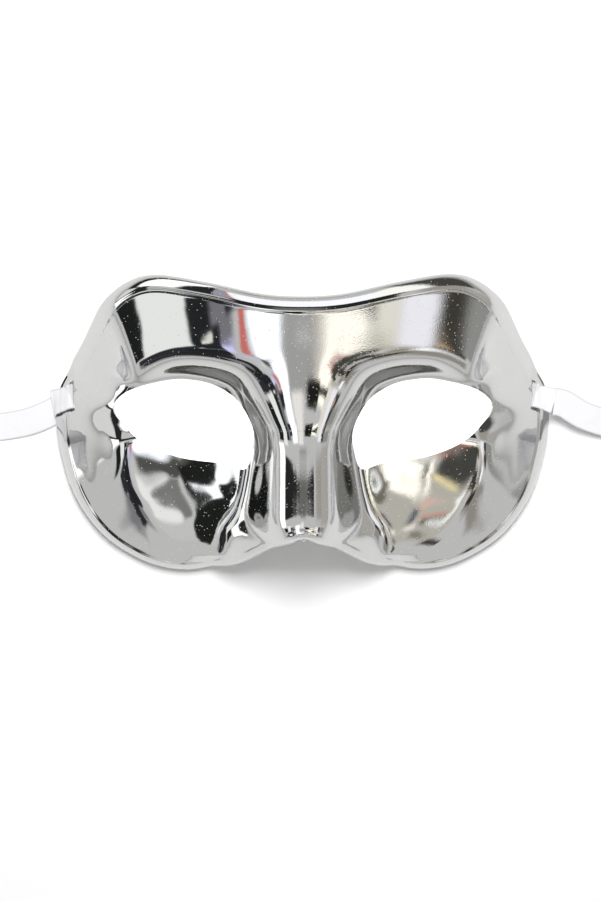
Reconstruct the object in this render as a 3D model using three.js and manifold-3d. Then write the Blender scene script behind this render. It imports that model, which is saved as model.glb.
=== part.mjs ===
// A party eye mask: a thin shell of silvered plastic that covers the eyes and the
// nose bridge, with a satin ribbon through a slot at each temple.
// Millimetres, +Z up. The mask lies on its back, face up, as it does when it is loose.

import * as THREE from 'three';
import { ParametricGeometry } from 'three/addons/geometries/ParametricGeometry.js';
import { mergeGeometries, mergeVertices } from 'three/addons/utils/BufferGeometryUtils.js';
import Module from 'manifold-3d';

const wasm = await Module();
wasm.setup();

// Driving sizes.
// The face frame has u across to the side, v up to the brow and w out of the face.

const sheet = 0.7;                   // thickness of the plastic
const lipWidth = 5.6;                // the rim is turned back in a lip
const lipFold = degrees(62);         // how far the lip is folded back from the face plane
const tableLean = degrees(22.5);     // tilt of the face plane when the mask lies down
const tableDepth = 54;               // how far the table is behind the face at v = 0
const upperFoot = -1;                // the rim touches the table at these two heights
const lowerFoot = -62;
const rimBow = 3;                    // and bows up from it between them

const slotLength = 13.5;
const slotWidth = 2.2;
const slotCut = 6;                   // depth of the block that cuts it
const slotTop = [83.6, -1.2];
const slotFoot = [81.2, -14.6];

const ribbonWidth = 10;
const ribbonThickness = 0.3;
const ribbonHeading = degrees(20);   // it leaves the rim outwards and a little towards the chin

// The put away end of the ribbon is rolled up on its edge, its outermost turn at one radius.
const coil = { outer: 31, inner: 20, turn: 30, height: 10.3, centreX: 148 };
const touchGap = 0.4;                // between pieces that touch

// The tail runs straight, bends, swings out by the drop, and twists between two places in x.
const tail = { straight: 16, bend: 24, swing: 20, drop: 2, twist: [114, 133], stop: 9.5 };

// Surfaces of the relief. A bow is the radius of a shallow curve, a fall is a slope, and
// a join is the depth over which two surfaces round into each other.

const forehead = { crown: 22, bowAcross: 100, bowUp: 260 };
const browFall = 1.4;
const socket = { depth: 13.5, middle: 18, bow: 100 };
const cheekPad = { depth: 13, inner: 24, bowAcross: 230, top: -24, bowDown: 143 };
const ridge = { depth: 1.5, top: 8, rise: 0.25, radius: 10, widening: 1, from: -12, fall: 2.2 };
const noseTip = { top: -39, bow: 9 };
const flare = { depth: 11.4, fall: 1.03, rise: 0.477, foot: -50 };
const temple = { u: 60.3, v: 6, depth: 19.5, fall: 1.27, rise: 0.25 };
const creaseStep = 1.2;
const join = { brow: 6.5, nose: 5, root: 8, bridge: 3, socket: 3, panel: 2.5, cheek: 1.5, crease: 0.5 };
const eyeCorners = [-15, -9];        // v over which the brow side gives way to the cheek side
const panelRays = [degrees(-96), degrees(85)];   // directions from the eye that meet the panel
const panelTurn = [degrees(-30), degrees(-12)];  // where the flat temple turns into the ruled part

// Mesh density.

const stepsPerKnot = 4;
const seamSteps = 20;
const orbitSteps = 5;
const brimSteps = 5;
const lipSteps = 2;
const curveSamples = 240;
const coilSteps = 40;
const tailSteps = 24;
const leastStep = 1.5;               // between the rings of the mesh round the eye
const leanPasses = 6;

function degrees(angle) {
  return angle * Math.PI / 180;
}

// Lines of the right half, as [u, v], and [u, v, w] for the crease.

const rimKnots = [
  [0, 32.2], [14, 32.9], [33, 36.0], [50, 37.2], [60, 33.8], [67.5, 26.0], [76, 9.0], [84, -6.0],
  [85.8, -14.0], [84, -27.0], [78.5, -42.0], [68.5, -54.5], [54, -62.6], [39, -64.6], [25, -60.4],
  [11, -50.0], [0, -44.2],
];

const eyeKnots = [
  [66.6, -7.6], [60.5, -0.6], [46.4, 4.0], [37.2, 4.3], [29.6, 2.3], [22.3, -2.8], [17.4, -12.0],
  [17.6, -19.9], [20.3, -26.9], [27.8, -24.9], [41.5, -23.1], [53, -19.3], [62, -13.0],
];

const browKnots = [
  [6.5, -12], [10, -3], [14, 4], [20, 8.8], [28, 11.4], [37, 12], [46, 10.6], [54, 6.6], [60.5, 1.4],
  [66, -4.5],
];

const creaseKnots = [
  [60, 8, -19.2], [63.5, -1, -21], [66.2, -9, -22], [66.2, -15, -19.6], [64.6, -23, -17.2],
  [61.5, -35, -16.6], [54.5, -48, -17], [45, -56.5, -17.5], [33, -60, -17.7],
];

const noseSideKnots = [[7, -12], [9, -28], [16, -46]];

const eyeCentre = new THREE.Vector2(38, -10);

// Curves.

function throughKnots(knots, closed) {
  const points = knots.map(([u, v, w = 0]) => new THREE.Vector3(u, v, w));
  return new THREE.CatmullRomCurve3(points, closed, 'catmullrom', 0.5);
}

function mirroredLoop(knots) {
  const inner = knots.slice(1, -1).reverse().map(([u, v]) => [-u, v]);
  return throughKnots([...knots, ...inner], true);
}

const rimCurve = mirroredLoop(rimKnots);
const browCurve = throughKnots(browKnots, false);

// A curve seen from the middle of the eye: how far out it is in each direction.
function aroundEye(curve) {
  const samples = curve.getPoints(curveSamples).map((p) => ({
    angle: Math.atan2(p.y - eyeCentre.y, p.x - eyeCentre.x),
    reach: Math.hypot(p.x - eyeCentre.x, p.y - eyeCentre.y),
    height: p.z,
  }));
  samples.sort((a, b) => a.angle - b.angle);
  return (angle) => {
    const last = samples.length - 1;
    const next = samples.findIndex((s) => s.angle > angle);
    if (next <= 0) return samples[next === 0 ? 0 : last];
    const [a, b] = [samples[next - 1], samples[next]];
    const t = (angle - a.angle) / (b.angle - a.angle);
    return {
      reach: a.reach + (b.reach - a.reach) * t,
      height: a.height + (b.height - a.height) * t,
    };
  };
}

const eyeReach = aroundEye(throughKnots(eyeKnots, true));
const creaseReach = aroundEye(throughKnots(creaseKnots, false));
const orbitReach = aroundEye(throughKnots(
  [...browKnots.slice(1).reverse(), ...noseSideKnots, ...creaseKnots.slice(2).reverse()],
  true,
));

const browSamples = browCurve.getPoints(curveSamples);

// How far a point is above the brow line, measured square to the line.
function aboveBrow(u, v) {
  const last = browSamples.length - 1;
  const next = browSamples.findIndex((p) => p.x > u);
  const [a, b] = next <= 0
    ? [browSamples[next === 0 ? 0 : last - 1], browSamples[next === 0 ? 1 : last]]
    : [browSamples[next - 1], browSamples[next]];
  const slope = (b.y - a.y) / (b.x - a.x);
  const height = a.y + slope * (THREE.MathUtils.clamp(u, a.x, b.x) - a.x);
  return (v - height) / Math.hypot(1, slope);
}

// Rounded joins between two surfaces, over a depth of k.

function lower(a, b, k) {
  const h = THREE.MathUtils.clamp(0.5 + 0.5 * (b - a) / k, 0, 1);
  return b + (a - b) * h - k * h * (1 - h);
}

function upper(a, b, k) {
  return -lower(-a, -b, k);
}

// The relief, as the depth w of the front face at (u, v).

// The upper part of the side panel is a plane, from the crease down to the temple.
function templePlane(u, v) {
  return -temple.depth - temple.fall * (u - temple.u) + temple.rise * (v - temple.v);
}

// The turned edge of the rim meets the table at two feet, bows up between them,
// and follows the temple plane above the upper one.
function rimHeight(point, outward) {
  const edgeV = point.y + lipWidth * Math.cos(lipFold) * outward.y;
  const between = THREE.MathUtils.clamp((upperFoot - edgeV) / (upperFoot - lowerFoot), 0, 1);
  const table = -tableDepth - Math.tan(tableLean) * edgeV + rimBow * Math.sin(Math.PI * between);
  const lifted = table + lipWidth * Math.sin(lipFold);
  return edgeV < slotFoot[1] ? lifted : upper(lifted, templePlane(point.x, point.y), join.panel);
}

function rimSample(t) {
  const point = rimCurve.getPoint(t);
  const tangent = rimCurve.getTangent(t);
  const outward = new THREE.Vector2(-tangent.y, tangent.x).normalize();
  return { point, outward };
}

const rimFromEye = (() => {
  const points = [];
  for (let i = 0; i <= curveSamples; i += 1) {
    const { point, outward } = rimSample(i / curveSamples / 2);
    points.push(new THREE.Vector3(point.x, point.y, rimHeight(point, outward)));
  }
  return aroundEye({ getPoints: () => points });
})();

// The side panel: flat above the temple, and ruled from the crease to the rim below it.
function panelHeight(u, v) {
  const angle = Math.atan2(v - eyeCentre.y, u - eyeCentre.x);
  const reach = Math.hypot(u - eyeCentre.x, v - eyeCentre.y);
  const ray = Math.max(angle, panelRays[0]);
  const crease = creaseReach(ray);
  const rim = rimFromEye(ray);
  const run = Math.max(rim.reach - crease.reach, leastStep);
  const ruled = crease.height + (rim.height - crease.height) * (reach - crease.reach) / run;
  const flat = templePlane(u, v);
  const share = THREE.MathUtils.smoothstep(-angle, ...panelTurn);
  return { height: flat + (ruled - flat) * share, toCrease: crease.reach - reach, angle };
}

function bowed(distance, radius) {
  return -(distance ** 2) / (2 * radius);
}

function foreheadHeight(u, v) {
  return bowed(u, forehead.bowAcross) + bowed(v - forehead.crown, forehead.bowUp);
}

// The bridge is a broad rounded ridge with steep flanks. It widens into the forehead, turns
// down at its tip, and flares beside the nostrils.
function noseHeight(u, v) {
  const tip = bowed(Math.min(v - noseTip.top, 0), noseTip.bow);
  const top = -ridge.depth + ridge.rise * (ridge.top - v) + tip;
  const radius = ridge.radius + ridge.widening * upper(v - ridge.from, 0, join.root);
  const bridge = top - ridge.fall * (Math.cbrt(u ** 3 + radius ** 3) - radius);
  const side = -flare.depth - flare.fall * u - flare.rise * Math.max(v, flare.foot);
  return upper(bridge, side, join.bridge);
}

// The forehead drops over the brow into the socket.
function browSide(u, v) {
  const belowBrow = lower(aboveBrow(u, v), 0, join.brow);
  const front = upper(foreheadHeight(u, v) + browFall * belowBrow, noseHeight(u, v), join.nose);
  return upper(front, bowed(u - socket.middle, socket.bow) - socket.depth, join.socket);
}

function cheekSide(u, v) {
  const across = bowed(Math.max(u - cheekPad.inner, 0), cheekPad.bowAcross);
  const down = bowed(Math.min(v - cheekPad.top, 0), cheekPad.bowDown);
  return across + down - cheekPad.depth;
}

function relief(side, v) {
  const u = Math.abs(side);
  const panel = panelHeight(u, v);
  let above = browSide(u, v);
  let below = cheekSide(u, v);
  if (panel.angle < panelRays[1]) {
    const step = creaseStep * upper(panel.toCrease, 0, join.crease);
    above = lower(above, panel.height, join.panel);
    below = lower(below, panel.height + step, join.cheek);
  }
  const share = THREE.MathUtils.smoothstep(v, ...eyeCorners);
  return upper(below + (above - below) * share, noseHeight(u, v), join.panel);
}

function reliefNormal(u, v) {
  const step = 0.05;
  const alongU = (relief(u + step, v) - relief(u - step, v)) / (2 * step);
  const alongV = (relief(u, v + step) - relief(u, v - step)) / (2 * step);
  return new THREE.Vector3(-alongU, -alongV, 1).normalize();
}

// The edge of the right half: along the rim, then up the middle of the nose.

const rimSteps = (rimKnots.length - 1) * stepsPerKnot;
const edge = [];
for (let i = 0; i <= rimSteps; i += 1) {
  edge.push(rimSample(i / rimSteps / 2));
}
edge[0].point.x = 0;
edge[rimSteps].point.x = 0;
for (const end of [edge[0], edge[rimSteps]]) {
  end.outward.set(0, Math.sign(end.outward.y));
}
const seamFoot = edge[rimSteps].point;
const seamTop = edge[0].point;
for (let i = 1; i < seamSteps; i += 1) {
  edge.push({ point: seamFoot.clone().lerp(seamTop, i / seamSteps) });
}
const rays = edge.length;
const rings = orbitSteps + brimSteps;

// Front of the face on one ray, from the eye's edge, past the orbit, to the rim.
function facePoint(ray, ring) {
  const { point } = edge[ray % rays];
  const away = new THREE.Vector2(point.x - eyeCentre.x, point.y - eyeCentre.y);
  const angle = away.angle() > Math.PI ? away.angle() - 2 * Math.PI : away.angle();
  const hole = eyeReach(angle).reach;
  const whole = away.length();
  const orbit = THREE.MathUtils.clamp(
      orbitReach(angle).reach, hole + leastStep, whole - leastStep,
    );
  const reach = ring <= orbitSteps
    ? hole + (orbit - hole) * ring / orbitSteps
    : orbit + (whole - orbit) * (ring - orbitSteps) / brimSteps;
  const flat = ring === rings
    ? new THREE.Vector2(point.x, point.y)
    : away.setLength(reach).add(eyeCentre);
  return new THREE.Vector3(flat.x, flat.y, relief(flat.x, flat.y));
}

function lipNormal(outward) {
  return new THREE.Vector3(
    outward.x * Math.sin(lipFold),
    outward.y * Math.sin(lipFold),
    Math.cos(lipFold),
  );
}

function frontAndBack(ray, ring) {
  const front = facePoint(ray, ring);
  const { outward } = edge[ray % rays];
  const normal = reliefNormal(front.x, front.y);
  if (ring === rings && outward) normal.add(lipNormal(outward)).normalize();
  if (front.x === 0) normal.setX(0).normalize();
  return { front, back: front.clone().addScaledVector(normal, -sheet) };
}

const face = [];
for (let ray = 0; ray < rays; ray += 1) {
  const row = [];
  for (let ring = 0; ring <= rings; ring += 1) row.push(frontAndBack(ray, ring));
  face.push(row);
}

function lipPoint(ray, step) {
  if (step === 0) return face[ray][rings];
  const { outward } = edge[ray];
  const along = new THREE.Vector3(
    outward.x * Math.cos(lipFold),
    outward.y * Math.cos(lipFold),
    -Math.sin(lipFold),
  );
  const front = face[ray][rings].front.clone().addScaledVector(along, lipWidth * step / lipSteps);
  return { front, back: front.clone().addScaledVector(lipNormal(outward), -sheet) };
}

// Sheets of the shell, each a grid of columns and rows.

function sheetOf(columns, rows, pointAt) {
  return new ParametricGeometry((s, t, target) => {
    target.copy(pointAt(Math.round(s * columns), Math.round(t * rows)));
  }, columns, rows);
}

function flipped(geometry) {
  const copy = geometry.clone();
  const { array } = copy.index;
  for (let i = 0; i < array.length; i += 3) {
    [array[i + 1], array[i + 2]] = [array[i + 2], array[i + 1]];
  }
  return copy;
}

function mirrored(geometry) {
  return flipped(geometry.clone().scale(-1, 1, 1));
}

function halfShell() {
  const inner = (side) => (ray, ring) => face[ray % rays][ring][side];
  const outer = (side) => (ray, step) => lipPoint(ray, step)[side];
  const across = (pointAt) => (column, row) => pointAt(column)[row === 0 ? 'front' : 'back'];
  return [
    sheetOf(rays, rings, inner('front')),
    flipped(sheetOf(rays, rings, inner('back'))),
    sheetOf(rimSteps, lipSteps, outer('front')),
    flipped(sheetOf(rimSteps, lipSteps, outer('back'))),
    flipped(sheetOf(rays, 1, across((ray) => face[ray % rays][0]))),
    sheetOf(rimSteps, 1, across((ray) => lipPoint(ray, lipSteps))),
  ];
}

function closedSolid(geometries) {
  const bare = mergeGeometries(geometries);
  bare.deleteAttribute('normal');
  bare.deleteAttribute('uv');
  return mergeVertices(bare, 1e-4);
}

function toManifold(geometry) {
  return new wasm.Manifold(new wasm.Mesh({
    numProp: 3,
    vertProperties: new Float32Array(geometry.attributes.position.array),
    triVerts: new Uint32Array(geometry.index.array),
  }));
}

function fromManifold(solid) {
  const mesh = solid.getMesh();
  const geometry = new THREE.BufferGeometry();
  geometry.setAttribute('position', new THREE.BufferAttribute(mesh.vertProperties, 3));
  geometry.setIndex(new THREE.BufferAttribute(mesh.triVerts, 1));
  return geometry;
}

// The slot of the right temple: a block square to the panel, to cut with.

function panelPoint([u, v]) {
  return new THREE.Vector3(u, v, relief(u, v));
}

const slotUp = panelPoint(slotTop).sub(panelPoint(slotFoot)).normalize();
const slotMiddle = panelPoint(slotTop).add(panelPoint(slotFoot)).multiplyScalar(0.5);
const slotNormal = (() => {
  const normal = reliefNormal(slotMiddle.x, slotMiddle.y);
  return normal.addScaledVector(slotUp, -normal.dot(slotUp)).normalize();
})();
const slotAway = new THREE.Vector3().crossVectors(slotUp, slotNormal).normalize();

function slotCutter() {
  const block = new THREE.BoxGeometry(slotWidth, slotLength, slotCut);
  block.applyMatrix4(new THREE.Matrix4()
    .makeBasis(slotAway, slotUp, slotNormal)
    .setPosition(slotMiddle));
  return block;
}

function shellGeometry() {
  const half = halfShell();
  const whole = closedSolid([...half, ...half.map(mirrored)]);
  const right = slotCutter();
  let solid = toManifold(whole);
  for (const cutter of [right, mirrored(right)]) {
    solid = solid.subtract(toManifold(closedSolid([cutter])));
  }
  return fromManifold(solid);
}

// Laying the mask on the table: leaned until the temple feet and the cheek feet touch together.

function lowestPoint(points, lean, isFoot) {
  let best = null;
  for (const p of points) {
    if (!isFoot(p)) continue;
    const height = p.y * Math.sin(lean) + p.z * Math.cos(lean);
    if (!best || height < best.height) best = { height, point: p };
  }
  return best;
}

function restingLean(points) {
  let lean = tableLean;
  const split = (upperFoot + lowerFoot) / 2;
  for (let pass = 0; pass < leanPasses; pass += 1) {
    const high = lowestPoint(points, lean, (p) => p.y > split).point;
    const low = lowestPoint(points, lean, (p) => p.y <= split).point;
    lean = Math.atan2(low.z - high.z, high.y - low.y);
  }
  return lean;
}

const shell = shellGeometry();
const shellPoints = [];
for (let i = 0; i < shell.attributes.position.count; i += 1) {
  shellPoints.push(new THREE.Vector3().fromBufferAttribute(shell.attributes.position, i));
}
const lean = restingLean(shellPoints);
const laid = new THREE.Matrix4().makeRotationX(lean);
shell.applyMatrix4(laid);
shell.computeBoundingBox();
const floorShift = new THREE.Vector3(
  0,
  -(shell.boundingBox.min.y + shell.boundingBox.max.y) / 2,
  -shell.boundingBox.min.z,
);
shell.translate(...floorShift);

function onTable(point) {
  return point.clone().applyMatrix4(laid).add(floorShift);
}

function turned(direction) {
  return direction.clone().transformDirection(laid);
}

// The ribbon of the right side. A strip is a box bent along its stations.

function strip(stations) {
  const steps = stations.length - 1;
  const geometry = new THREE.BoxGeometry(1, ribbonWidth, ribbonThickness, steps, 1, 1);
  const position = geometry.attributes.position;
  for (let i = 0; i < position.count; i += 1) {
    const at = Math.round((position.getX(i) + 0.5) * steps);
    const before = stations[Math.max(at - 1, 0)].centre;
    const after = stations[Math.min(at + 1, steps)].centre;
    const { centre, across } = stations[at];
    const along = after.clone().sub(before).normalize();
    const up = new THREE.Vector3().crossVectors(along, across).normalize();
    const moved = centre.clone()
      .addScaledVector(across, position.getY(i))
      .addScaledVector(up, position.getZ(i));
    position.setXYZ(i, moved.x, moved.y, moved.z);
  }
  return closedSolid([geometry]);
}

// The loop runs round the strip of plastic between the slot and the rim, in the upright
// plane of the ribbon's heading. Its points are [distance along the heading, height, share],
// where the share turns its width from the slot's direction to level.

const heading = new THREE.Vector3(Math.cos(ribbonHeading), -Math.sin(ribbonHeading), 0);
const levelAcross = new THREE.Vector3(Math.sin(ribbonHeading), Math.cos(ribbonHeading), 0);
const slotAcross = turned(slotUp);
const slotCentre = onTable(slotMiddle);

const cutEnd = [[8.8, 1.5, 0.9], [7.4, 2.3, 0.4], [6.2, 3.2, 0]];
const overRim = [[5.2, 4.15, 0], [4.3, 5.25, 0], [3.2, 6.15, 0], [1.75, 7.25, 0], [0.65, 7.65, 0]];
const throughSlot = [[0.2, 7.05, 0], [-0.1, 6.3, 0], [-0.15, 5.6, 0]];
const underRim = [[0.5, 4.7, 0], [1.6, 3.8, 0], [2.6, 2.6, 0.1], [3.4, 1.5, 0.4], [4.2, 0.7, 0.75]];
const onFloor = [[5.2, 0.35, 1], [6.6, 0.3, 1], [8.2, 0.3, 1]];

function alongHeading(away, height) {
  return new THREE.Vector3(slotCentre.x, slotCentre.y, 0)
    .addScaledVector(heading, away)
    .setZ(height);
}

const loopStations = [...cutEnd, ...overRim, ...throughSlot, ...underRim, ...onFloor]
  .map(([away, height, share]) => ({
    centre: alongHeading(away, height),
    across: slotAcross.clone().lerp(levelAcross, share).normalize(),
  }));

// The tail lies on the table. It leaves the rim along the heading, swings straight out and
// stands up on its edge, to meet the coil at a tangent.

const tailStart = alongHeading(onFloor[onFloor.length - 1][0] + touchGap, 0);
const tailBend = alongHeading(tail.bend, 0);
const joinY = tailBend.y - tail.drop;
const tailCurve = new THREE.CatmullRomCurve3([
  tailStart,
  alongHeading(tail.straight, 0),
  tailBend,
  new THREE.Vector3(tailBend.x + tail.swing / 2, joinY + tail.drop / 10, 0),
  new THREE.Vector3(tailBend.x + tail.swing, joinY, 0),
  new THREE.Vector3(coil.centreX - tail.stop, joinY, 0),
], false, 'centripetal');

const tailStations = tailCurve.getSpacedPoints(tailSteps).map((point, i) => {
  const tangent = tailCurve.getTangentAt(i / tailSteps);
  const turn = THREE.MathUtils.smoothstep(point.x, ...tail.twist) * Math.PI / 2;
  const rise = ribbonWidth * Math.sin(turn) + ribbonThickness * Math.cos(turn);
  return {
    centre: point.clone().setZ(rise / 2),
    across: new THREE.Vector3(-tangent.y, tangent.x, 0)
      .multiplyScalar(Math.cos(turn))
      .setZ(Math.sin(turn)),
  };
});

// The rest of the ribbon is rolled up loosely: a ring that holds its turns.
function coilGeometry() {
  const profile = [
    [coil.inner, 0], [coil.outer, 0], [coil.outer, coil.height], [coil.inner, coil.height],
    [coil.inner, 0],
  ].map(([radius, height]) => new THREE.Vector2(radius, height));
  const ring = new THREE.LatheGeometry(profile, coilSteps);
  ring.rotateX(Math.PI / 2);
  ring.translate(coil.centreX, joinY - coil.turn, 0);
  return closedSolid([ring]);
}

const satin = new THREE.MeshStandardMaterial({ color: 0xf4f4f2, metalness: 0, roughness: 0.45 });
const chrome = new THREE.MeshStandardMaterial({ color: 0xc9c9c6, metalness: 1, roughness: 0.12 });

const group = new THREE.Group();

function addPiece(name, geometry, material) {
  const mesh = new THREE.Mesh(geometry, material);
  mesh.name = name;
  group.add(mesh);
}

addPiece('mask_shell', shell, chrome);
const ribbon = { loop: strip(loopStations), tail: strip(tailStations), coil: coilGeometry() };
for (const [piece, geometry] of Object.entries(ribbon)) {
  addPiece(`right_ribbon_${piece}`, geometry, satin);
  addPiece(`left_ribbon_${piece}`, mirrored(geometry), satin);
}

export default group;
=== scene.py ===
# %% [markdown]
# # A silver party eye mask
# The real thing is one thin sheet of plastic, drawn over a mould and silvered, with a
# white satin ribbon through a slot at each temple. It lies on a pale table, face up.
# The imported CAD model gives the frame: every size below is in its millimetres, and goes
# into Blender in metres.

# %% Load the frame
import math

import bpy
import numpy as np
from mathutils import Matrix, Vector


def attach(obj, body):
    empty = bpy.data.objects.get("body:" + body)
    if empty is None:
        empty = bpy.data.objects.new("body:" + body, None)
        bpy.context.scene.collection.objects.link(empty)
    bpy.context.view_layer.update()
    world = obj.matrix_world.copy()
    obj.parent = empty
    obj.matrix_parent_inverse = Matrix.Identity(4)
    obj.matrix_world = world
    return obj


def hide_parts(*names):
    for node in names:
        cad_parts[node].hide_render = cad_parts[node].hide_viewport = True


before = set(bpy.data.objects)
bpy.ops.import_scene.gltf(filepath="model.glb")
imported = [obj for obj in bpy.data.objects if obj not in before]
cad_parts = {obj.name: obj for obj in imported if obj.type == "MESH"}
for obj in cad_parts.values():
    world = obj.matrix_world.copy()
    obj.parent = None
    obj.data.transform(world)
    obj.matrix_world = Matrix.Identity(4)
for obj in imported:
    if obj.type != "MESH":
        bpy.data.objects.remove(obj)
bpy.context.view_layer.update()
MM = 0.001
scene = bpy.context.scene
print("CAD nodes:", sorted(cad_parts))

# %% [markdown]
# The mask is designed in a face frame: u runs across to the side, v up to the brow and w
# out of the face. On the table it leans back on its temples and cheeks, so one turn about
# X and one shift take a point from the face frame to the table.

# %% From the face to the table
FACE_LEAN = math.radians(22.4134)
FACE_ORIGIN = Vector((0.0, 4.2283, 50.1222))
to_table = Matrix.Translation(FACE_ORIGIN) @ Matrix.Rotation(FACE_LEAN, 4, "X")
print("the middle of the face is", round(FACE_ORIGIN.z, 1), "mm above the table")

# %% [markdown]
# The camera comes first, because the ribbons are put away outside its view. The photograph
# looks almost straight down on the face, a little from above the brow. The view is aimed
# at the middle of the face and shifted, so its upright lines stay upright.

# %% Camera
VIEW_FROM_BROW = math.radians(13.0)
VIEW_FROM_SIDE = math.radians(-0.27)
VIEW_ROLL = math.radians(-0.11)
VIEW_DISTANCE = 760.0

toward = Vector((
    math.sin(VIEW_FROM_SIDE) * math.cos(VIEW_FROM_BROW),
    math.sin(VIEW_FROM_BROW),
    math.cos(VIEW_FROM_SIDE) * math.cos(VIEW_FROM_BROW),
))
right = Vector((0, 1, 0)).cross(toward).normalized()
axes = Matrix((right, toward.cross(right), toward)).transposed().to_4x4()
place = to_table @ Matrix.Translation(toward * VIEW_DISTANCE) @ axes
place = place @ Matrix.Rotation(VIEW_ROLL, 4, "Z")
place.translation *= MM

camera_data = bpy.data.cameras.new("photo_camera")
camera_data.sensor_fit = "VERTICAL"
camera_data.sensor_height = 36.0
camera_data.lens = 89.6
camera_data.shift_x = -0.0032
camera_data.shift_y = -0.0538
camera_data.clip_start = 0.01
camera_data.clip_end = 20.0
camera = bpy.data.objects.new("photo_camera", camera_data)
camera.matrix_world = place
scene.collection.objects.link(camera)
scene.camera = camera
print("camera at", [round(c, 3) for c in place.translation])

# %% [markdown]
# Each ribbon is one limp strip of satin, 10 mm wide. It is threaded through the slot and
# laid back over the rim, where it is sealed to itself. That tight loop is a piece of its
# own; the free rest is a cord that lies on the table and is rolled up on its edge where
# the camera doesn't see it.
# A strip is a row of stations. A station is a point of the centreline and the direction
# of the ribbon's width there, so it can bend and twist as satin does.

# %% A strip of ribbon
RIBBON_WIDTH = 10.0
RIBBON_THICKNESS = 0.3
STRIP_COLUMNS = 8


def spline(knots, steps):
    """A smooth line through knots, each any list of numbers."""
    k = np.array(knots, float)
    padded = np.vstack([2 * k[0] - k[1], k, 2 * k[-1] - k[-2]])
    t = np.linspace(0, 1, steps, endpoint=False)[:, None]
    parts = []
    for p0, p1, p2, p3 in zip(padded, padded[1:], padded[2:], padded[3:]):
        bend = 2 * p0 - 5 * p1 + 4 * p2 - p3
        twist = 3 * (p1 - p2) + p3 - p0
        parts.append(0.5 * (2 * p1 + (p2 - p0) * t + bend * t**2 + twist * t**3))
    return np.vstack(parts + [k[-1:]])


def ribbon_strip(name, centres, widths):
    """A closed strip along centres, with widths the direction across it at each one."""
    centres = np.array(centres, float)
    widths = np.array(widths, float)
    along = np.gradient(centres, axis=0)
    along /= np.linalg.norm(along, axis=1)[:, None]
    widths -= along * np.sum(widths * along, axis=1)[:, None]
    widths /= np.linalg.norm(widths, axis=1)[:, None]
    up = np.cross(along, widths)
    run = np.concatenate([[0], np.cumsum(np.linalg.norm(np.diff(centres, axis=0), axis=1))])
    across = np.linspace(-0.5, 0.5, STRIP_COLUMNS + 1)
    rows, columns = len(centres), STRIP_COLUMNS + 1
    corners = []
    for side in (0.5, -0.5):
        offset = across[None, :, None] * widths[:, None, :] * RIBBON_WIDTH
        corners.append(centres[:, None, :] + offset + side * up[:, None, :] * RIBBON_THICKNESS)
    points = np.stack(corners).reshape(-1, 3) * MM
    count = rows * columns
    faces = []
    for i in range(rows - 1):
        for j in range(columns - 1):
            a = i * columns + j
            faces.append((a, a + columns, a + columns + 1, a + 1))
            faces.append((count + a, count + a + 1, count + a + columns + 1, count + a + columns))
        for j in (0, columns - 1):
            a = i * columns + j
            quad = (a, a + count, a + columns + count, a + columns)
            faces.append(quad if j == 0 else quad[::-1])
    for i in (0, rows - 1):
        for j in range(columns - 1):
            a = i * columns + j
            quad = (a, a + 1, a + 1 + count, a + count)
            faces.append(quad if i == 0 else quad[::-1])
    mesh = bpy.data.meshes.new(name)
    mesh.from_pydata([tuple(p) for p in points], [], faces)
    uv = mesh.uv_layers.new(name="satin")
    for loop in mesh.loops:
        i, j = divmod(loop.vertex_index % count, columns)
        uv.data[loop.index].uv = (run[i] * MM, across[j] * RIBBON_WIDTH * MM)
    piece = bpy.data.objects.new(name, mesh)
    scene.collection.objects.link(piece)
    bpy.ops.object.select_all(action="DESELECT")
    piece.select_set(True)
    bpy.context.view_layer.objects.active = piece
    bpy.ops.object.mode_set(mode="EDIT")
    bpy.ops.mesh.select_all(action="SELECT")
    bpy.ops.mesh.normals_make_consistent(inside=False)
    bpy.ops.object.mode_set(mode="OBJECT")
    bpy.ops.object.shade_smooth_by_angle(angle=math.radians(50))
    print(name, "is", round(run[-1], 1), "mm long, in", len(mesh.polygons), "faces")
    return piece


# %% [markdown]
# The loop is drawn in the upright plane of the way the ribbon leaves the rim: how far out,
# how high, and a share that turns its width from the slot's slant to level. The viewer's
# left ribbon ends on top, with its cut edge showing; on the right the end is underneath.

# %% Loops through the slots
SLOT_CENTRE = np.array([82.4, 13.592, 6.700])
SLOT_ACROSS = np.array([0.11995, 0.89855, -0.42215])


def loop_stations(side, route, steps=6):
    """Centres and widths of a loop. Each row of route is out, height, share and heading."""
    centres, widths = [], []
    for out, height, share, heading in spline(route, steps):
        turn = math.radians(heading)
        level = np.array([math.sin(turn), math.cos(turn), 0.0])
        flat = SLOT_CENTRE * (1, 1, 0) + out * np.array([math.cos(turn), -math.sin(turn), 0.0])
        centre = flat + (0, 0, height)
        width = SLOT_ACROSS + (level - SLOT_ACROSS) * share
        centres.append(centre * (side, 1, 1))
        widths.append(width * (side, 1, 1))
    return centres, widths


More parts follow.
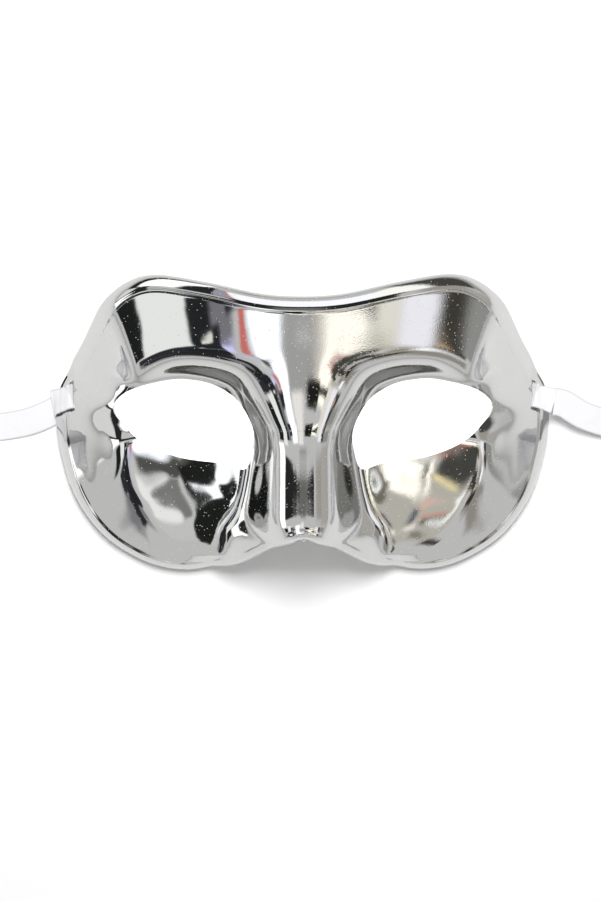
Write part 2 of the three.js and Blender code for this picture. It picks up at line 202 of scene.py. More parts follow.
left_route = [
    (8.0, 1.15, 0.95, 12), (7.4, 1.5, 0.7, 12), (6.6, 2.6, 0.25, 12), (5.9, 3.55, 0, 12),
    (5.1, 4.35, 0, 12), (4.25, 5.3, 0, 12), (3.2, 6.2, 0, 13), (1.95, 7.3, 0, 14),
    (1.0, 7.65, 0, 15), (0.6, 7.05, 0, 17), (0.35, 6.3, 0, 19), (0.3, 5.6, 0, 21),
    (0.8, 4.7, 0, 23), (1.8, 3.8, 0, 24), (2.6, 2.6, 0.1, 25), (3.4, 1.6, 0.4, 26),
    (4.2, 0.9, 0.75, 27), (5.2, 0.4, 1, 28), (6.6, 0.3, 1, 29), (8.2, 0.3, 1, 29),
]
right_route = [
    (5.4, 0.4, 1, 28), (4.2, 0.9, 0.75, 27), (3.4, 1.6, 0.4, 26), (2.6, 2.6, 0.1, 25),
    (1.8, 3.8, 0, 24), (0.8, 4.7, 0, 23), (0.3, 5.6, 0, 21), (0.35, 6.3, 0, 20),
    (0.6, 7.05, 0, 18), (1.0, 7.7, 0, 16), (1.95, 7.5, 0, 15), (3.2, 6.8, 0.05, 14),
    (4.6, 6.4, 0.15, 13), (6.4, 6.3, 0.3, 14), (8.2, 6.3, 0.4, 15),
]

loops = {}
loop_ends = {}
for side, word, route in ((-1, "left", left_route), (1, "right", right_route)):
    centres, widths = loop_stations(side, route)
    loops[word] = ribbon_strip(f"{word}_satin_loop", centres, widths)
    loop_ends[word] = (centres[-1], widths[-1])

# %% [markdown]
# The free ribbon leaves the loop in a lazy curve. Where it stands on its edge, its width
# turns upright. The roll is a spiral of loose turns, 5 mm apart, out of the camera's view.

# %% Routes of the free ribbons
ROLL_CENTRE = (148.0, -26.616)
ROLL_RADIUS = 30.0
ROLL_PITCH = 5.0
ROLL_TURNS = 1.74
TWIST_FROM, TWIST_TO = 114.0, 134.0
JOIN_Y = 3.384


def eased(x, low, high):
    """0 below low, 1 above high, and smooth between."""
    t = np.clip((x - low) / (high - low), 0, 1)
    return t * t * (3 - 2 * t)


def free_route(side, start, knots):
    """Centres and widths from the loop's end, over the table and round the roll."""
    knots = [start * (side, 1, 1), *knots]
    knots += [(118, JOIN_Y + 0.1, 0.3), (126, JOIN_Y, 0.3), (137, JOIN_Y, 0.3), (148, JOIN_Y, 0.3)]
    flat = spline(knots, 3)
    turns = np.linspace(0, ROLL_TURNS, int(ROLL_TURNS * 24))[1:]
    radius = ROLL_RADIUS - ROLL_PITCH * turns
    angle = math.pi / 2 - 2 * math.pi * turns
    roll = np.stack([
        ROLL_CENTRE[0] + radius * np.cos(angle),
        ROLL_CENTRE[1] + radius * np.sin(angle),
        np.full(len(turns), RIBBON_WIDTH / 2),
    ], axis=1)
    turn = eased(flat[:, 0], TWIST_FROM, TWIST_TO) * math.pi / 2
    stood = (RIBBON_WIDTH * np.sin(turn) + RIBBON_THICKNESS * np.cos(turn)) / 2
    flat[:, 2] = np.maximum(flat[:, 2], stood)
    centres = np.vstack([flat, roll])
    turn = np.concatenate([turn, np.full(len(roll), math.pi / 2)])
    along = np.gradient(centres, axis=0)
    level = np.stack([-along[:, 1], along[:, 0], np.zeros(len(along))], axis=1)
    level /= np.linalg.norm(level, axis=1)[:, None]
    widths = level * np.cos(turn)[:, None] + np.array([0, 0, 1.0]) * np.sin(turn)[:, None]
    return centres * (side, 1, 1), widths * (side, 1, 1)


left_knots = [(92.0, 8.4, 0.3), (96.2, 6.5, 0.6), (101, 5.1, 0.4), (109, 3.8, 0.3)]
right_knots = [(94.0, 10.6, 6.0), (100.0, 7.0, 5.0), (107.0, 4.7, 3.2), (112.5, 3.8, 1.2)]
routes = {
    "left": free_route(-1, np.array(loop_ends["left"][0]), left_knots),
    "right": free_route(1, np.array(loop_ends["right"][0]), right_knots),
}

# %% Free ribbons
ribbons = {}
for word, (centres, widths) in routes.items():
    ribbon = ribbon_strip(f"{word}_satin_ribbon", centres, widths)
    run = float(np.sum(np.linalg.norm(np.diff(centres, axis=0), axis=1))) * MM
    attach(ribbon, "root")
    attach(loops[word], "root")
    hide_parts(f"{word}_ribbon_loop")
    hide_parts(f"{word}_ribbon_tail", f"{word}_ribbon_coil")
    ribbons[word] = ribbon
    print(word, "free ribbon measures", round(run, 4), "m")

# %% [markdown]
# The shell is one sheet with relief: forehead, brow, eye sockets, nose and cheeks, and
# flat side panels beyond a crease. On the real mask these come from the mould. Here they
# come from a few named lines and surfaces, the same ones as in the CAD, drawn finer and
# softer, because a mirror finish shows every facet. Only the brow edge is rounded more in
# the middle and less at the side. Lines are for the right half, and the left is its mirror
# image.

# %% Lines of the mask
RIM = [
    (0, 32.2), (14, 32.9), (33, 36.0), (50, 37.2), (60, 33.8), (67.5, 26.0), (76, 9.0),
    (84, -6.0), (85.8, -14.0), (84, -27.0), (78.5, -42.0), (68.5, -54.5), (54, -62.6),
    (39, -64.6), (25, -60.4), (11, -50.0), (0, -44.2),
]
EYE = [
    (66.6, -7.6), (60.5, -0.6), (46.4, 4.0), (37.2, 4.3), (29.6, 2.3), (22.3, -2.8),
    (17.4, -12.0), (17.6, -19.9), (20.3, -26.9), (27.8, -24.9), (41.5, -23.1), (53, -19.3),
    (62, -13.0),
]
BROW = [
    (6.5, -12), (10, -3), (14, 4), (20, 8.8), (28, 11.4), (37, 12), (46, 10.6), (54, 6.6),
    (60.5, 1.4), (66, -4.5),
]
CREASE = [
    (60, 8, -19.2), (63.5, -1, -21), (66.2, -9, -22), (66.2, -15, -19.6), (64.6, -23, -17.2),
    (61.5, -35, -16.6), (54.5, -48, -17), (45, -56.5, -17.5), (33, -60, -17.7),
]
NOSE_SIDE = [(7, -12), (9, -28), (16, -46)]
EYE_CENTRE = np.array([38.0, -10.0])
LINE_STEPS = 16


def line_through(knots, closed=False):
    """A smooth line through knots, open or closed, with a height where they give one."""
    knots = [(*k, 0)[:3] for k in knots]
    if not closed:
        return spline(knots, LINE_STEPS)
    extra = [knots[-1], *knots, knots[0], knots[1]]
    line = spline(extra, LINE_STEPS)
    return line[LINE_STEPS:LINE_STEPS * (len(knots) + 1)]


rim_loop = line_through(RIM + [(-u, v) for u, v in RIM[-2:0:-1]], closed=True)
rim_steps = (len(RIM) - 1) * LINE_STEPS
rim_points = rim_loop[:rim_steps + 1]
ahead = np.roll(rim_loop, -1, axis=0) - np.roll(rim_loop, 1, axis=0)
rim_outward = np.stack([-ahead[:, 1], ahead[:, 0]], axis=1)[:rim_steps + 1]
rim_outward /= np.linalg.norm(rim_outward, axis=1)[:, None]
print("the rim of one half has", rim_steps, "steps")

# %% [markdown]
# Seen from the middle of the eye, every line is a distance for each direction. That makes
# it easy to ask how far out the crease or the rim is, and to lay the mesh in rings.


# %% Distances from the eye
def from_eye(line):
    """A function of direction that gives the line's distance and height there."""
    offset = line[:, :2] - EYE_CENTRE
    angle = np.arctan2(offset[:, 1], offset[:, 0])
    order = np.argsort(angle)
    angle, reach = angle[order], np.hypot(*offset.T)[order]
    height = line[order, 2]
    return lambda at: (np.interp(at, angle, reach), np.interp(at, angle, height))


crease_from_eye = from_eye(line_through(CREASE))
hole_from_eye = from_eye(line_through(EYE, closed=True))
orbit = BROW[:0:-1] + NOSE_SIDE + [c[:2] for c in CREASE[:1:-1]]
orbit_from_eye = from_eye(line_through(orbit, closed=True))
brow_line = line_through(BROW)

# %% [markdown]
# Two surfaces that meet are joined by a rounded minimum or maximum, as a mould's edges
# are rounded by the sheet that is drawn over them.


# %% Rounded joins
def lower(a, b, k):
    """The lower of two heights, rounded over a depth of k."""
    h = np.clip(0.5 + 0.5 * (b - a) / k, 0, 1)
    return b + (a - b) * h - k * h * (1 - h)


def upper(a, b, k):
    """The upper of two heights, rounded over a depth of k."""
    return -lower(-a, -b, k)


def bowed(distance, radius):
    """A shallow curve that falls away from 0."""
    return -distance**2 / (2 * radius)


# %% [markdown]
# The rim is turned back in a lip, whose edge meets the table at the temples and cheeks and
# bows up between them. The side panel runs from the crease to the rim: flat above the
# temple, and ruled in straight lines below it.

# %% Rim and side panel
LIP_WIDTH = 5.6
LIP_FOLD = math.radians(62)
TABLE_LEAN, TABLE_DEPTH = math.radians(22.5), 54.0
UPPER_FOOT, LOWER_FOOT, RIM_BOW = -1.0, -62.0, 3.0
SLOT_FOOT = -14.6


def temple_plane(u, v):
    """The flat upper part of the side panel."""
    return -19.5 - 1.27 * (u - 60.3) + 0.25 * (v - 6)


def rim_height(points, outward):
    """How deep the rim lies, so that the lip's edge meets the table."""
    edge = points[:, 1] + LIP_WIDTH * math.cos(LIP_FOLD) * outward[:, 1]
    between = np.clip((UPPER_FOOT - edge) / (UPPER_FOOT - LOWER_FOOT), 0, 1)
    table = -TABLE_DEPTH - math.tan(TABLE_LEAN) * edge + RIM_BOW * np.sin(math.pi * between)
    lifted = table + LIP_WIDTH * math.sin(LIP_FOLD)
    temple = temple_plane(points[:, 0], points[:, 1])
    return np.where(edge < SLOT_FOOT, lifted, upper(lifted, temple, 2.5))


rim_line = rim_points.copy()
rim_line[:, 2] = rim_height(rim_points, rim_outward)
rim_from_eye = from_eye(rim_line)


def side_panel(u, v):
    """Height of the panel, distance inside the crease, and direction from the eye."""
    du, dv = u - EYE_CENTRE[0], v - EYE_CENTRE[1]
    angle, reach = np.arctan2(dv, du), np.hypot(du, dv)
    ray = np.maximum(angle, math.radians(-96))
    crease_reach, crease_height = crease_from_eye(ray)
    rim_reach, rim_depth = rim_from_eye(ray)
    run = np.maximum(rim_reach - crease_reach, 1.5)
    ruled = crease_height + (rim_depth - crease_height) * (reach - crease_reach) / run
    flat = temple_plane(u, v)
    share = eased(-angle, math.radians(-30), math.radians(-12))
    return flat + (ruled - flat) * share, crease_reach - reach, angle


# %% [markdown]
# The middle of the face: a broad bowed forehead that drops over the brow into the eye
# socket, a rounded nose ridge that flares beside the nostrils, and two cheek pads.


# %% Face relief
def nose_height(u, v):
    """A rounded ridge with steep flanks, over a wide flare."""
    top = -1.5 + 0.2 * (8 - v) - bowed(8 - v, 400) + bowed(np.minimum(v + 39, 0), 9)
    radius = 10 + 1.0 * upper(v + 12, 0, 8)
    bridge = top - 2.2 * ((u**3 + radius**3) ** (1 / 3) - radius)
    flare = -11.4 - 1.03 * u - 0.477 * np.maximum(v, -50)
    return upper(bridge, flare, 3)


brow_slope = np.gradient(brow_line[:, 1], brow_line[:, 0])


def brow_side(u, v):
    """Forehead, brow and socket."""
    brow = np.interp(u, brow_line[:, 0], brow_line[:, 1])
    above_brow = (v - brow) / np.hypot(1, np.interp(u, brow_line[:, 0], brow_slope))
    crown = bowed(np.maximum(v - 22, 0), 260)
    roll = 9 - 4 * eased(u, 6, 26)
    forehead = bowed(u, 100) + crown + 1.4 * lower(above_brow, 0, roll)
    socket = bowed(u - 18, 100) - 13.5
    return upper(upper(forehead, nose_height(u, v), 5), socket, 3)


def cheek_side(u, v):
    """The cheek pads."""
    return bowed(np.maximum(u - 24, 0), 230) + bowed(np.minimum(v + 24, 0), 143) - 13


def relief(side, v):
    """Height w of the front of the mask at any point of the face."""
    u = np.abs(side)
    panel, inside_crease, angle = side_panel(u, v)
    above, below = brow_side(u, v), cheek_side(u, v)
    faced = angle < math.radians(85)
    step = 1.2 * upper(inside_crease, 0, 0.5)
    above = np.where(faced, lower(above, panel, 2.5), above)
    below = np.where(faced, lower(below, panel + step, 1.5), below)
    share = eased(v, -15, -9)
    return upper(below + (above - below) * share, nose_height(u, v), 2.5)


def drawn(side, v, radius):
    """Height of the drawn sheet: the relief averaged over a soft round patch."""
    step = np.linspace(-2.2, 2.2, 11)
    weight = np.exp(-step**2 / 2)
    height = np.zeros(np.shape(side))
    for du, a in zip(step, weight):
        for dv, b in zip(step, weight):
            height += a * b * relief(side + du * radius, v + dv * radius)
    return height / weight.sum() ** 2


print("the nose ridge stands", round(float(relief(0.0, 0.0) - relief(20.0, 0.0)), 1), "mm high")

# %% [markdown]
# The mesh of one half is a grid wrapped round the eye: its columns are rays from the eye
# to the rim and to the middle of the nose, and its rows are rings. It starts as a flat
# grid primitive, and each vertex is then put on the relief. That is quicker and truer
# than pushing points about by hand, because the formulas say where the surface is.

# %% Wrap a grid round the eye
SEAM_STEPS = 64
ORBIT_RINGS, BRIM_RINGS = 18, 28
LEAST_RING = 1.5
BEAD_BAND = 2.6

rim_flat = rim_points[:, :2].copy()
rim_flat[[0, -1], 0] = 0.0
rim_out = rim_outward.copy()
rim_out[[0, -1], 0] = 0.0
rim_out /= np.linalg.norm(rim_out, axis=1)[:, None]
inset = rim_flat - BEAD_BAND * rim_out
seam_share = 0.5 - 0.5 * np.cos(np.pi * np.linspace(0, 1, SEAM_STEPS + 1)[1:-1, None])
seam = inset[-1] + (inset[0] - inset[-1]) * seam_share
border = np.vstack([inset, seam, inset[:1]])
ray = border - EYE_CENTRE
ray_angle, ray_length = np.arctan2(ray[:, 1], ray[:, 0]), np.hypot(*ray.T)
hole = hole_from_eye(ray_angle)[0]
middle = np.clip(orbit_from_eye(ray_angle)[0], hole + LEAST_RING, ray_length - LEAST_RING)
inner = hole + (middle - hole) * np.linspace(0, 1, ORBIT_RINGS + 1)[:, None]
outer = middle + (ray_length - middle) * np.linspace(0, 1, BRIM_RINGS + 1)[1:, None]
reach = np.vstack([inner, outer])
ring_points = EYE_CENTRE + reach[:, :, None] * (ray / ray_length[:, None])[None]
ring_points[-1] = border
columns, rings = ring_points.shape[1], ring_points.shape[0]
print("one half has", columns, "rays and", rings, "rings")


# %% A grid primitive put in place
def placed_grid(name, points):
    """A grid primitive whose vertices are moved to points, in rows and columns, in mm."""
    rows, across = points.shape[:2]
    bpy.ops.object.select_all(action="DESELECT")
    bpy.ops.mesh.primitive_grid_add(x_subdivisions=across - 1, y_subdivisions=rows - 1, size=2)
    piece = bpy.context.object
    piece.name = name
    piece.data.name = name
    flat = np.array([v.co[:2] for v in piece.data.vertices])
    column = np.rint((flat[:, 0] + 1) / 2 * (across - 1)).astype(int)
    row = np.rint((flat[:, 1] + 1) / 2 * (rows - 1)).astype(int)
    piece.data.vertices.foreach_set("co", (points[row, column] * MM).ravel())
    piece.data.update()
    return piece


# %% The sheet's height at any point
SOFTNESS = 1.6
CORNER, CORNER_SIZE, CORNER_SOFTNESS = (65, -12), 9, 1.6
BEAD_HEIGHT, BEAD_INSET, BEAD_WIDTH = 0.24, 0.9, 0.62
RIPPLE_HEIGHT = 0.022


def rim_distance(points):
    """Distance from each point to the rim."""
    nearest = np.full(points.shape[:-1], np.inf)
    for start, end in zip(rim_flat, rim_flat[1:]):
        run = end - start
        share = np.clip((points - start) @ run / (run @ run), 0, 1)
        away = points - start - share[..., None] * run
        nearest = np.minimum(nearest, np.hypot(away[..., 0], away[..., 1]))
    return nearest


def ripple(u, v):
    """The slight unevenness of thin drawn plastic, round the eyes and on the cheeks."""
    waves = np.sin(0.31 * u + 0.22 * v)
    waves = waves + np.sin(0.37 * v - 0.19 * u + 1.3)
    waves = waves + np.sin(0.43 * u - 0.13 * v + 4)
    brow = np.interp(u, brow_line[:, 0], brow_line[:, 1])
    return RIPPLE_HEIGHT * waves * (0.1 + eased(brow - v, 1, 6))


def sheet_points(flat):
    """Points of the flat plan, with the height of the drawn sheet added to each."""
    u, v = flat[..., 0], flat[..., 1]
    gap = rim_distance(flat)
    from_corner = np.hypot(u - CORNER[0], v - CORNER[1]) / CORNER_SIZE
    soft = (SOFTNESS + CORNER_SOFTNESS * np.exp(-(from_corner**2))) * eased(gap, 0, 6)
    height = drawn(u, v, soft)
    height += BEAD_HEIGHT * np.exp(-(((gap - BEAD_INSET) / BEAD_WIDTH) ** 2))
    height += ripple(u, v) * eased(gap, 1, 5)
    return np.dstack([flat, height])


half = placed_grid("silver_shell", sheet_points(ring_points))
print("grid of", len(half.data.vertices), "vertices")

# %% [markdown]
# The bead and the turned-back lip are a second grid, whose rows run along the rim. Behind
# the bead the lip bends sharply at first, then curls on, and ends folded back by about 62
# degrees. The two grids are joined and their shared edge is welded.

# %% Bead and turned back lip
BEAD_ROWS, LIP_STEPS = 12, 16
LIP_CURL = math.radians(16)
LIP_BEND = 0.9
LIP_EASE = math.radians(8)

from_rim = BEAD_BAND * (1 - np.linspace(0, 1, BEAD_ROWS + 1))
bead_points = sheet_points(rim_flat - from_rim[:, None, None] * rim_out)
rim_edge, inner_edge = bead_points[-1], bead_points[-2]
run_out = np.sum((rim_edge - inner_edge)[:, :2] * rim_out, axis=1)
fall = np.arctan2((inner_edge - rim_edge)[:, 2], run_out)
mean_fold = LIP_FOLD - LIP_EASE * np.maximum(rim_out[:, 1], 0)
first_fold = np.maximum(mean_fold - LIP_CURL, fall + math.radians(6))
last_fold = 2 * mean_fold - first_fold
along_rim = np.gradient(rim_edge, axis=0)
along_rim[[0, -1]] = (1, 0, 0)
along_rim /= np.linalg.norm(along_rim, axis=1)[:, None]
lip_points = list(bead_points)
for step in range(LIP_STEPS):
    share = (step + 0.5) / LIP_STEPS
    bent = eased(share * LIP_WIDTH, -0.2, LIP_BEND)
    angle = fall + (first_fold - fall) * bent + (last_fold - first_fold) * share
    way = np.column_stack([rim_out * np.cos(angle)[:, None], -np.sin(angle)])
    way -= along_rim * np.sum(way * along_rim, axis=1)[:, None]
    way /= np.linalg.norm(way, axis=1)[:, None]
    lip_points.append(lip_points[-1] + way * LIP_WIDTH / LIP_STEPS)
lip_points = np.array(lip_points)
lip_points[:, [0, -1], 0] = 0.0
lip = placed_grid("lip", lip_points)
bpy.ops.object.select_all(action="DESELECT")
lip.select_set(True)
half.select_set(True)
bpy.context.view_layer.objects.active = half
bpy.ops.object.join()
bpy.ops.object.mode_set(mode="EDIT")
bpy.ops.mesh.select_all(action="SELECT")
bpy.ops.mesh.remove_doubles(threshold=0.00001)
bpy.ops.mesh.normals_make_consistent(inside=False)
bpy.ops.object.mode_set(mode="OBJECT")
print("half shell has", len(half.data.polygons), "faces")

# %% [markdown]
# A Mirror modifier makes the other half, and Solidify gives the sheet its thickness on the
# inside. The mesh first gets two empty material slots, because Solidify can only give the
# inside the second slot if there is one. Both modifiers are applied, so that the slots for
# the ribbons can be cut through the finished wall.

# %% Mirror, thicken and lay on the table
SHEET = 0.7
toward_viewer = sum((p.normal.z * p.area for p in half.data.polygons))
if toward_viewer < 0:
    half.data.flip_normals()
mirror = half.modifiers.new("other half", "MIRROR")
mirror.use_axis = (True, False, False)
mirror.merge_threshold = 0.00002
wall = half.modifiers.new("sheet", "SOLIDIFY")
wall.thickness = SHEET * MM
wall.offset = -1.0
wall.use_even_offset = False
wall.material_offset = 1
half.data.materials.append(None)
half.data.materials.append(None)
bpy.ops.object.select_all(action="DESELECT")
half.select_set(True)
bpy.context.view_layer.objects.active = half
for name in ("other half", "sheet"):
    bpy.ops.object.modifier_apply(modifier=name)
lay = to_table.copy()
lay.translation *= MM
half.data.transform(lay)
print("the shell has", len(half.data.polygons), "faces")

# %% [markdown]
# Each slot is cut by a block square to the side panel, as a punch goes through the sheet.

# %% Cut the slots
SLOT_SIZE = (2.2, 13.5, 6.0)
SLOT_NORMAL = np.array([0.646, 0.25224, 0.72045])


def cut_slot(side):
    """Cuts one slot through the shell with a Boolean modifier."""
    up = SLOT_ACROSS * (side, 1, 1)
    normal = SLOT_NORMAL * (side, 1, 1)
    basis = Matrix((np.cross(up, normal), up, normal)).transposed().to_4x4()
    bpy.ops.object.select_all(action="DESELECT")
    bpy.ops.mesh.primitive_cube_add(size=1)
    punch = bpy.context.object
    punch.data.transform(Matrix.Diagonal([*(s * MM for s in SLOT_SIZE), 1]))
    punch.data.transform(Matrix.Translation(SLOT_CENTRE * (side, 1, 1) * MM) @ basis)
    bpy.context.view_layer.objects.active = half
    cut = half.modifiers.new("slot", "BOOLEAN")
    cut.operation = "DIFFERENCE"
    cut.solver = "EXACT"
    cut.object = punch
    bpy.ops.object.modifier_apply(modifier="slot")
    bpy.data.objects.remove(punch)


for side in (-1, 1):
    cut_slot(side)
bpy.ops.object.select_all(action="DESELECT")
half.select_set(True)
bpy.ops.object.shade_smooth_by_angle(angle=math.radians(38))
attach(half, "root")
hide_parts("mask_shell")
triangles = sum(len(p.vertices) - 2 for p in half.data.polygons)
print("the shell has", triangles, "triangles after the slots")

# %% [markdown]
# Vacuum silvering is a mirror with a fine grain: dust under the film shows as pale specks,
# and the sheet isn't quite even. A metal shader gives the mirror and small bumps give the
# grain, which is stronger on the viewer's right and strongest on that side's forehead.
# Specks are mixed in where a cell pattern is nearest its middle.


# %% Node helpers
def new_material(name):
    """An empty node material with its shader, and functions to add and link nodes."""
    material = bpy.data.materials.new(name)
    material.use_nodes = True
    tree = material.node_tree
    shader = tree.nodes["Principled BSDF"]

    def add(kind, **inputs):
        node = tree.nodes.new(kind)
        for key, value in inputs.items():
            node.inputs[key.replace("_", " ")].default_value = value
        return node

    return material, tree, shader, add


# %% Silvered film
silver, tree, shader, add = new_material("silvered film")
shader.inputs["Metallic"].default_value = 1.0
place_node = add("ShaderNodeTexCoord")
dust = add("ShaderNodeTexVoronoi", Scale=700.0)
unevenness = add("ShaderNodeTexNoise", Scale=120.0, Detail=2.0)
grain = add("ShaderNodeTexNoise", Scale=2600.0, Detail=2.0)
for pattern in (dust, unevenness, grain):
    tree.links.new(place_node.outputs["Object"], pattern.inputs["Vector"])
speck = add("ShaderNodeMapRange")
speck.inputs["From Min"].default_value = 0.14
speck.inputs["From Max"].default_value = 0.08
tree.links.new(dust.outputs["Distance"], speck.inputs["Value"])
film_colour = add("ShaderNodeMix")
film_colour.data_type = "RGBA"
film_colour.inputs["A"].default_value = (0.6, 0.6, 0.592, 1)
film_colour.inputs["B"].default_value = (0.93, 0.93, 0.92, 1)
tree.links.new(speck.outputs["Result"], film_colour.inputs["Factor"])
tree.links.new(film_colour.outputs["Result"], shader.inputs["Base Color"])
haze = add("ShaderNodeMapRange")
haze.inputs["To Min"].default_value = 0.015
haze.inputs["To Max"].default_value = 0.06
tree.links.new(grain.outputs["Fac"], haze.inputs["Value"])
speck_haze = add("ShaderNodeMix")
speck_haze.inputs["B"].default_value = 0.6
tree.links.new(speck.outputs["Result"], speck_haze.inputs["Factor"])
tree.links.new(haze.outputs["Result"], speck_haze.inputs["A"])
tree.links.new(speck_haze.outputs["Result"], shader.inputs["Roughness"])
place_parts = add("ShaderNodeSeparateXYZ")
tree.links.new(place_node.outputs["Object"], place_parts.inputs[0])
grain_share = add("ShaderNodeMapRange")
grain_share.inputs["From Min"].default_value = -0.020
grain_share.inputs["From Max"].default_value = 0.005
grain_share.inputs["To Min"].default_value = 0.06
tree.links.new(place_parts.outputs["X"], grain_share.inputs["Value"])
forehead_grain = add("ShaderNodeMapRange")
forehead_grain.inputs["From Min"].default_value = 0.012
forehead_grain.inputs["From Max"].default_value = 0.022
forehead_grain.inputs["To Min"].default_value = 0.28
forehead_grain.inputs["To Max"].default_value = 0.65
tree.links.new(place_parts.outputs["Y"], forehead_grain.inputs["Value"])
tree.links.new(forehead_grain.outputs["Result"], grain_share.inputs["To Max"])
fine = add("ShaderNodeBump", Distance=0.00002)
coarse = add("ShaderNodeBump", Strength=0.15, Distance=0.0001)
tree.links.new(grain_share.outputs["Result"], fine.inputs["Strength"])
tree.links.new(unevenness.outputs["Fac"], coarse.inputs["Height"])
tree.links.new(grain.outputs["Fac"], fine.inputs["Height"])
tree.links.new(coarse.outputs["Normal"], fine.inputs["Normal"])
tree.links.new(fine.outputs["Normal"], shader.inputs["Normal"])
print("silvered film has", len(tree.nodes), "nodes")

# %% Inside of the shell
inside_face, tree, shader, add = new_material("dull inside of the sheet")
shader.inputs["Metallic"].default_value = 1.0
shader.inputs["Base Color"].default_value = (0.55, 0.55, 0.54, 1)
place_node = add("ShaderNodeTexCoord")
cloud = add("ShaderNodeTexNoise", Scale=90.0, Detail=3.0)
tree.links.new(place_node.outputs["Object"], cloud.inputs["Vector"])
cloudy = add("ShaderNodeMapRange")
cloudy.inputs["To Min"].default_value = 0.25
cloudy.inputs["To Max"].default_value = 0.5
tree.links.new(cloud.outputs["Fac"], cloudy.inputs["Value"])
tree.links.new(cloudy.outputs["Result"], shader.inputs["Roughness"])
half.data.materials[0] = silver
half.data.materials[1] = inside_face
inner_faces = sum(p.material_index for p in half.data.polygons)
print(inner_faces, "of", len(half.data.polygons), "faces are inside the shell")

# %% [markdown]
# Satin is woven with long floats, so it shines in a soft band along the ribbon, and has
# fine ribs across it. Near both edges its colour is darker, a painted shade for the
# ribbon's thin shaded edge. The pattern follows the ribbon's own UV map, in metres along
# and across it.

# %% White satin
satin, tree, shader, add = new_material("white satin")
shader.inputs["Roughness"].default_value = 0.42
shader.inputs["Sheen Weight"].default_value = 0.25
shader.inputs["Sheen Roughness"].default_value = 0.4
weave_place = add("ShaderNodeUVMap")
weave_place.uv_map = "satin"
ribs = add("ShaderNodeTexWave", Scale=420.0, Distortion=0.4)
ribs.bands_direction = "X"
tree.links.new(weave_place.outputs["UV"], ribs.inputs["Vector"])
creases = add("ShaderNodeTexNoise", Scale=110.0, Detail=1.0, Distortion=0.6)
tree.links.new(weave_place.outputs["UV"], creases.inputs["Vector"])
crease_bump = add("ShaderNodeBump", Strength=0.6, Distance=0.0012)
tree.links.new(creases.outputs["Fac"], crease_bump.inputs["Height"])
rib_bump = add("ShaderNodeBump", Strength=0.12, Distance=0.00003)
tree.links.new(ribs.outputs["Fac"], rib_bump.inputs["Height"])
tree.links.new(crease_bump.outputs["Normal"], rib_bump.inputs["Normal"])
weave_parts = add("ShaderNodeSeparateXYZ")
tree.links.new(weave_place.outputs["UV"], weave_parts.inputs[0])
from_middle = add("ShaderNodeMath")
from_middle.operation = "ABSOLUTE"
tree.links.new(weave_parts.outputs["Y"], from_middle.inputs[0])
# Painted shade: the colour darkens beyond 4.4 mm from the ribbon's middle, along both edges.
painted_edge_shade = add("ShaderNodeMapRange")
painted_edge_shade.inputs["From Min"].default_value = 0.0044
painted_edge_shade.inputs["From Max"].default_value = 0.0048
tree.links.new(from_middle.outputs[0], painted_edge_shade.inputs["Value"])
edge_shade_colour = add("ShaderNodeMix")
edge_shade_colour.data_type = "RGBA"
edge_shade_colour.inputs["A"].default_value = (0.82, 0.82, 0.84, 1)
edge_shade_colour.inputs["B"].default_value = (0.62, 0.62, 0.64, 1)
tree.links.new(painted_edge_shade.outputs["Result"], edge_shade_colour.inputs["Factor"])
tree.links.new(edge_shade_colour.outputs["Result"], shader.inputs["Base Color"])
tree.links.new(rib_bump.outputs["Normal"], shader.inputs["Normal"])
for piece in (*loops.values(), *ribbons.values()):
    piece.data.materials.clear()
    piece.data.materials.append(satin)

# %% [markdown]
# The table is a pale sheet that runs far past the view. A mirror shows whatever is round
# it, so most of this mask's look is its surroundings: soft white boxes, dark gaps between
# them, and a little warm and red. They are painted into the world by direction: across,
# from the viewer's left to right, and up, from chin to brow. Later cards cover earlier
# ones. They were fitted until the mirror looked right from the camera, so they are a guess
# at the real surroundings. Only reflections show them, and all else gets an even soft
# light.

# %% Table
TABLE_GAP = 0.1
bpy.ops.object.select_all(action="DESELECT")
bpy.ops.mesh.primitive_plane_add(size=6.0)
table = bpy.context.object
table.name = "table"
table.data.transform(Matrix.Translation((0, 0, -TABLE_GAP * MM)))
paper, tree, shader, add = new_material("pale table")
shader.inputs["Base Color"].default_value = (0.9, 0.9, 0.9, 1)
shader.inputs["Roughness"].default_value = 0.8
shader.inputs["Specular IOR Level"].default_value = 0.2
table.data.materials.append(paper)

